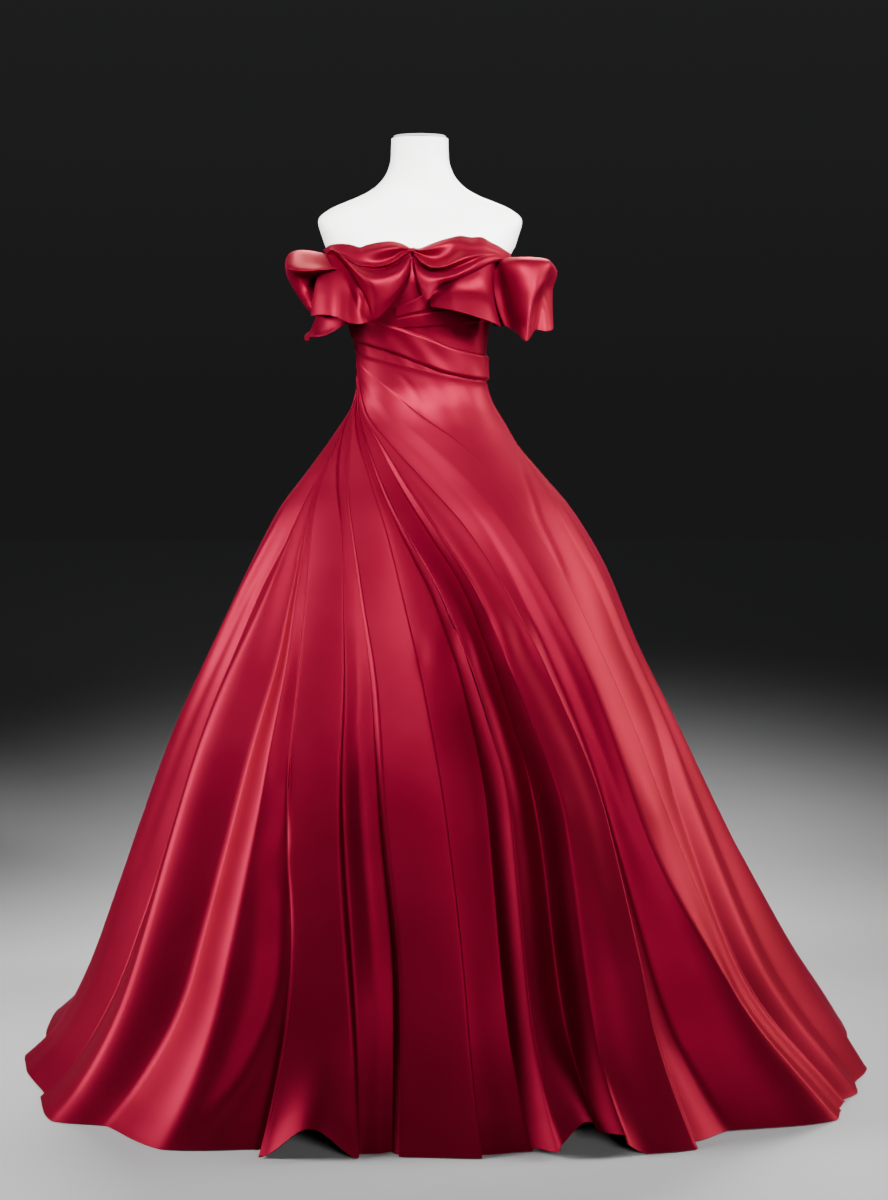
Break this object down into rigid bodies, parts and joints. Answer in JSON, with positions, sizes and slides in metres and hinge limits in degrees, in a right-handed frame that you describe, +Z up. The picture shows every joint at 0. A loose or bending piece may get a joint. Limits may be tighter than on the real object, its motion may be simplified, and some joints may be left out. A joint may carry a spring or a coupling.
{
  "type": "evening dress on a dress form",
  "caption": "Floor-length evening dress with a fanned, pleated satin skirt and a draped off-shoulder collar, worn by a limbless dress form on a round base.",
  "frame": {"origin": "centre of the base's underside, on the pole's axis", "axes": "+Z up, front of the dress towards -Y, +X to the viewer's right when seen from the front"},
  "size_m": [1.5283, 1.4725, 1.6653],
  "materials": {
    "satin": "deep red duchess satin with a soft sheen",
    "form": "smooth off-white shell",
    "cap": "grey disc",
    "stand": "white painted steel"
  },
  "bodies": {
    "root": {"bodice_front": "satin", "bodice_back_left": "satin", "bodice_back_right": "satin", "band_cross_low": "satin", "band_cross_high": "satin", "band_upper": "satin", "back_zip": "satin", "skirt_front_left": "satin", "skirt_front_centre": "satin", "skirt_front_wrap": "satin", "skirt_side_right": "satin", "skirt_back_right": "satin", "skirt_back_left": "satin", "skirt_side_left": "satin", "bow_knot": "satin", "bow_left": "satin", "bow_right": "satin", "flounce_right_front": "satin", "flounce_right_side": "satin", "flounce_left_side": "satin", "flounce_left_low": "satin", "flounce_back": "satin", "form_torso": "form", "form_neck_cap": "cap", "form_pole": "stand", "form_base": "stand"}
  },
  "joints": []
}
